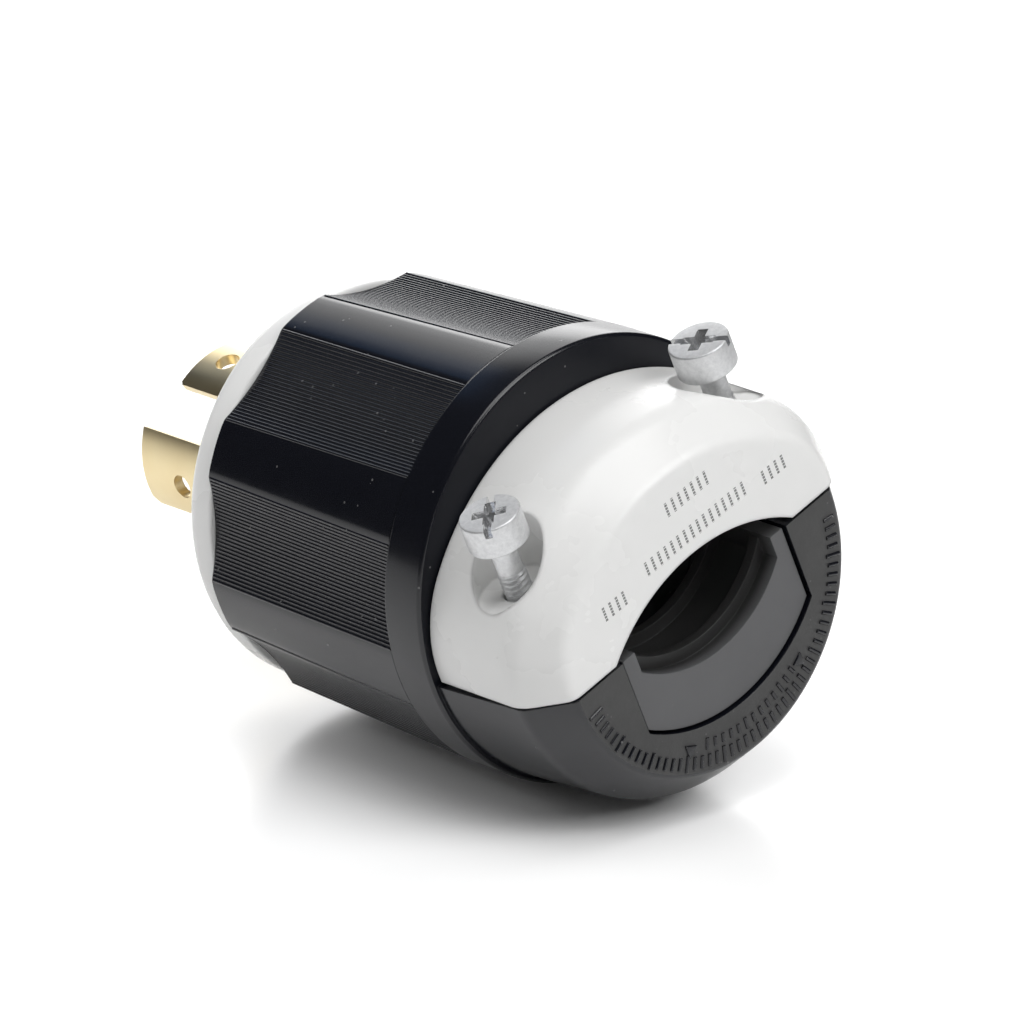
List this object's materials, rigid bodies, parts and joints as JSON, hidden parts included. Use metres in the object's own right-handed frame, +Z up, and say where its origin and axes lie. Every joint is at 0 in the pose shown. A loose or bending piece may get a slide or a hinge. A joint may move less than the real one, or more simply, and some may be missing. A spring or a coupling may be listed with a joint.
{
  "type": "locking power plug",
  "caption": "Fluted cylindrical locking power plug with curved twist-lock blades, a white front body and a screw-down cord clamp with a removable insert.",
  "frame": {"origin": "centre of the mating face, on the plug's axis", "axes": "+X along the plug's axis from the mating face to the cable end, so the blades point to -X; +Z up as the plug lies on its side; the clamp is turned 22.5 degrees about X"},
  "size_m": [0.0977, 0.0612, 0.0618],
  "materials": {
    "black_nylon": "satin",
    "white_nylon": "satin",
    "grey_nylon": "matte",
    "blade_brass": "satin",
    "zinc_steel": "zinc plated"
  },
  "bodies": {
    "root": {"housing": "black_nylon", "blade_body": "white_nylon", "cord_clamp": "white_nylon", "clamp_insert": "grey_nylon", "terminal_cover": "white_nylon", "cover_screw": "zinc_steel", "blade_a": "blade_brass", "blade_b": "blade_brass", "blade_c": "blade_brass", "blade_d": "blade_brass", "pressure_plate_a": "blade_brass", "pressure_plate_b": "blade_brass", "pressure_plate_c": "blade_brass", "pressure_plate_d": "blade_brass", "terminal_screw_a": "zinc_steel", "terminal_screw_b": "zinc_steel", "terminal_screw_c": "zinc_steel", "terminal_screw_d": "zinc_steel", "assembly_screw_upper": "zinc_steel", "assembly_screw_lower": "zinc_steel", "clamp_screw_left": "zinc_steel", "clamp_screw_right": "zinc_steel", "clamp_nut_left": "zinc_steel", "clamp_nut_right": "zinc_steel"}
  },
  "joints": []
}
